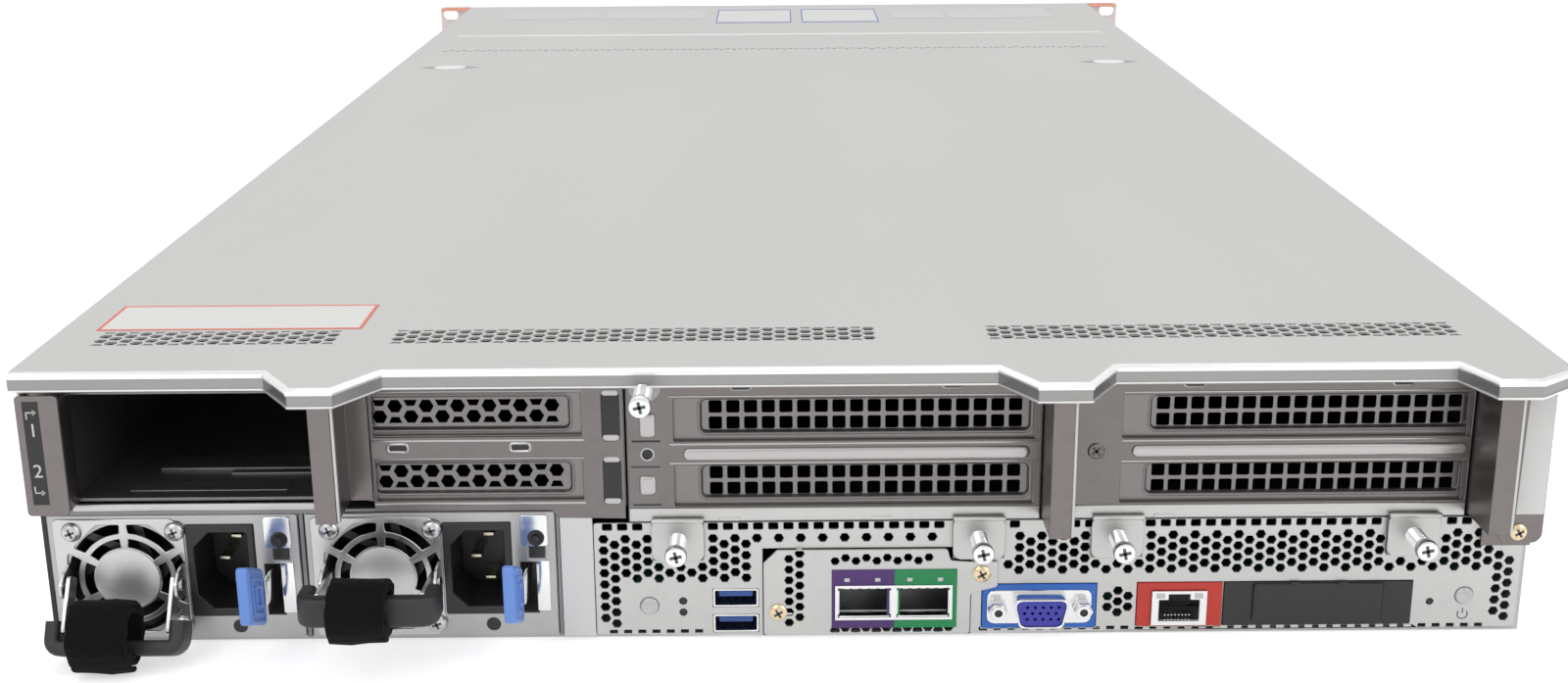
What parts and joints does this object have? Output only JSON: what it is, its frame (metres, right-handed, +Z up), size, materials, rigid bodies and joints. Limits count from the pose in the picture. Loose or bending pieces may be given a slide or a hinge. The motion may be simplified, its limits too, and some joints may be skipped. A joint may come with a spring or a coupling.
{
  "type": "rack server",
  "caption": "Rack-mounted server seen from behind: lift-off vented cover, slide-out power supplies, riser cages, pierced port panel and front drive bays.",
  "frame": {"origin": "centre of the chassis footprint, on the plane it rests on", "axes": "+Z up, +Y from the port end towards the drive end, +X to the right when looking at the port end from behind"},
  "size_m": [0.4788, 0.8189, 0.087],
  "materials": {
    "cover_sheet": "smooth satin zinc-coated sheet",
    "zinc_sheet": "satin zinc-coated sheet",
    "screw_steel": "polished",
    "screw_gold": "satin yellow zinc",
    "black_plastic": "fine grain",
    "blue_plastic": "satin",
    "vga_blue": "satin",
    "board": "satin lacquer",
    "aluminium": "satin",
    "strap": "woven hook and loop",
    "red_steel": "satin",
    "ear_paint": "satin",
    "trim_plastic": "satin",
    "light_plastic": "satin"
  },
  "bodies": {
    "chassis": {"chassis_base": "zinc_sheet", "rear_frame": "zinc_sheet", "psu_bay": "zinc_sheet", "rear_bay_cage": "zinc_sheet", "front_top_panel": "cover_sheet", "riser_cage_1": "zinc_sheet", "riser_cage_2": "zinc_sheet", "riser_cage_3": "zinc_sheet", "slot_covers": "zinc_sheet", "rear_io_panel": "zinc_sheet", "usb_ports": "zinc_sheet", "ocp_bracket": "zinc_sheet", "ocp_card": "board", "vga_port": "vga_blue", "lan_port": "red_steel", "port_blank": "zinc_sheet", "panel_screws": "screw_gold", "motherboard": "board", "cpu_heatsinks": "aluminium", "memory_modules": "board", "power_distribution_board": "board", "fan_frames": "black_plastic", "fan_wall": "zinc_sheet", "drive_cage": "zinc_sheet", "drive_backplane": "board", "drive_blanks": "black_plastic", "front_ears": "ear_paint", "ear_trims": "trim_plastic", "rail_studs": "screw_steel"},
    "cover": {"top_cover": "cover_sheet"},
    "cover_screw": {"cover_screw": "screw_steel"},
    "riser_screw_1": {"riser_screw_1": "screw_steel"},
    "riser_screw_2": {"riser_screw_2": "screw_steel"},
    "riser_screw_3": {"riser_screw_3": "screw_steel"},
    "riser_screw_4": {"riser_screw_4": "screw_steel"},
    "psu_1": {"psu_1_housing": "zinc_sheet", "psu_1_fan_guard": "zinc_sheet", "psu_1_inlet": "black_plastic"},
    "psu_1_fan": {"psu_1_fan": "black_plastic"},
    "psu_1_handle": {"psu_1_handle": "screw_steel", "psu_1_strap": "strap"},
    "psu_1_lever": {"psu_1_lever": "blue_plastic"},
    "psu_2": {"psu_2_housing": "zinc_sheet", "psu_2_fan_guard": "zinc_sheet", "psu_2_inlet": "black_plastic"},
    "psu_2_fan": {"psu_2_fan": "black_plastic"},
    "psu_2_handle": {"psu_2_handle": "screw_steel", "psu_2_strap": "strap"},
    "psu_2_lever": {"psu_2_lever": "blue_plastic"},
    "id_button": {"id_button": "light_plastic"},
    "rear_power_button": {"rear_power_button": "light_plastic"},
    "front_power_button": {"front_power_button": "light_plastic"},
    "system_fan_1": {"system_fan_1": "black_plastic"},
    "system_fan_2": {"system_fan_2": "black_plastic"},
    "system_fan_3": {"system_fan_3": "black_plastic"},
    "system_fan_4": {"system_fan_4": "black_plastic"},
    "drive_carrier_1": {"drive_carrier_1": "zinc_sheet"},
    "carrier_lever_1": {"carrier_lever_1": "black_plastic"},
    "drive_carrier_2": {"drive_carrier_2": "zinc_sheet"},
    "carrier_lever_2": {"carrier_lever_2": "black_plastic"}
  },
  "joints": [
    {"name": "cover_lift", "type": "slide", "parent": "chassis", "child": "cover", "axis": [0, 0, 1], "range_m": [0, 0.12]},
    {"name": "cover_screw_turn", "type": "hinge", "parent": "cover", "child": "cover_screw", "pos_m": [-0.0407, -0.4, 0.0798], "axis": [0, 1, 0], "continuous": true},
    {"name": "riser_screw_1_turn", "type": "hinge", "parent": "chassis", "child": "riser_screw_1", "pos_m": [-0.0322, -0.395, 0.0318], "axis": [0, 1, 0], "continuous": true},
    {"name": "riser_screw_2_turn", "type": "hinge", "parent": "chassis", "child": "riser_screw_2", "pos_m": [0.0555, -0.395, 0.0318], "axis": [0, 1, 0], "continuous": true},
    {"name": "riser_screw_3_turn", "type": "hinge", "parent": "chassis", "child": "riser_screw_3", "pos_m": [0.0958, -0.395, 0.0318], "axis": [0, 1, 0], "continuous": true},
    {"name": "riser_screw_4_turn", "type": "hinge", "parent": "chassis", "child": "riser_screw_4", "pos_m": [0.1822, -0.395, 0.0318], "axis": [0, 1, 0], "continuous": true},
    {"name": "psu_1_slide", "type": "slide", "parent": "chassis", "child": "psu_1", "axis": [0, -1, 0], "range_m": [0, 0.19]},
    {"name": "psu_1_fan_spin", "type": "hinge", "parent": "psu_1", "child": "psu_1_fan", "pos_m": [-0.1931, -0.38, 0.0208], "axis": [0, 1, 0], "continuous": true},
    {"name": "psu_1_handle_swing", "type": "hinge", "parent": "psu_1", "child": "psu_1_handle", "pos_m": [-0.1931, -0.395, 0.021], "axis": [-1, 0, 0], "range_deg": [0, 90]},
    {"name": "psu_1_lever_press", "type": "hinge", "parent": "psu_1", "child": "psu_1_lever", "pos_m": [-0.1509, -0.3682, 0.0212], "axis": [0, 0, -1], "range_deg": [0, 3.5], "stiffness_Nm_per_rad": 0.2, "springref_deg": -2.86},
    {"name": "psu_2_slide", "type": "slide", "parent": "chassis", "child": "psu_2", "axis": [0, -1, 0], "range_m": [0, 0.19]},
    {"name": "psu_2_fan_spin", "type": "hinge", "parent": "psu_2", "child": "psu_2_fan", "pos_m": [-0.1185, -0.38, 0.0208], "axis": [0, 1, 0], "continuous": true},
    {"name": "psu_2_handle_swing", "type": "hinge", "parent": "psu_2", "child": "psu_2_handle", "pos_m": [-0.1185, -0.395, 0.021], "axis": [-1, 0, 0], "range_deg": [-40, 20]},
    {"name": "psu_2_lever_press", "type": "hinge", "parent": "psu_2", "child": "psu_2_lever", "pos_m": [-0.0763, -0.3682, 0.0212], "axis": [0, 0, -1], "range_deg": [0, 3.5], "stiffness_Nm_per_rad": 0.2, "springref_deg": -2.86},
    {"name": "id_button_press", "type": "slide", "parent": "chassis", "child": "id_button", "axis": [0, 1, 0], "range_m": [0, 0.0008], "stiffness_N_per_m": 400, "springref_m": -0.001},
    {"name": "rear_power_button_press", "type": "slide", "parent": "chassis", "child": "rear_power_button", "axis": [0, 1, 0], "range_m": [0, 0.0008], "stiffness_N_per_m": 400, "springref_m": -0.001},
    {"name": "front_power_button_press", "type": "slide", "parent": "chassis", "child": "front_power_button", "axis": [0, -1, 0], "range_m": [0, 0.0008], "stiffness_N_per_m": 400, "springref_m": -0.001},
    {"name": "system_fan_1_spin", "type": "hinge", "parent": "chassis", "child": "system_fan_1", "pos_m": [-0.1575, 0.195, 0.0412], "axis": [0, 1, 0], "continuous": true},
    {"name": "system_fan_2_spin", "type": "hinge", "parent": "chassis", "child": "system_fan_2", "pos_m": [-0.0525, 0.195, 0.0412], "axis": [0, 1, 0], "continuous": true},
    {"name": "system_fan_3_spin", "type": "hinge", "parent": "chassis", "child": "system_fan_3", "pos_m": [0.0525, 0.195, 0.0412], "axis": [0, 1, 0], "continuous": true},
    {"name": "system_fan_4_spin", "type": "hinge", "parent": "chassis", "child": "system_fan_4", "pos_m": [0.1575, 0.195, 0.0412], "axis": [0, 1, 0], "continuous": true},
    {"name": "drive_carrier_1_slide", "type": "slide", "parent": "chassis", "child": "drive_carrier_1", "axis": [0, 1, 0], "range_m": [0, 0.15]},
    {"name": "carrier_lever_1_swing", "type": "hinge", "parent": "drive_carrier_1", "child": "carrier_lever_1", "pos_m": [-0.10875, 0.39, 0.071], "axis": [0, 0, -1], "range_deg": [0, 80]},
    {"name": "drive_carrier_2_slide", "type": "slide", "parent": "chassis", "child": "drive_carrier_2", "axis": [0, 1, 0], "range_m": [0, 0.15]},
    {"name": "carrier_lever_2_swing", "type": "hinge", "parent": "drive_carrier_2", "child": "carrier_lever_2", "pos_m": [-0.00145, 0.39, 0.071], "axis": [0, 0, -1], "range_deg": [0, 80]}
  ]
}
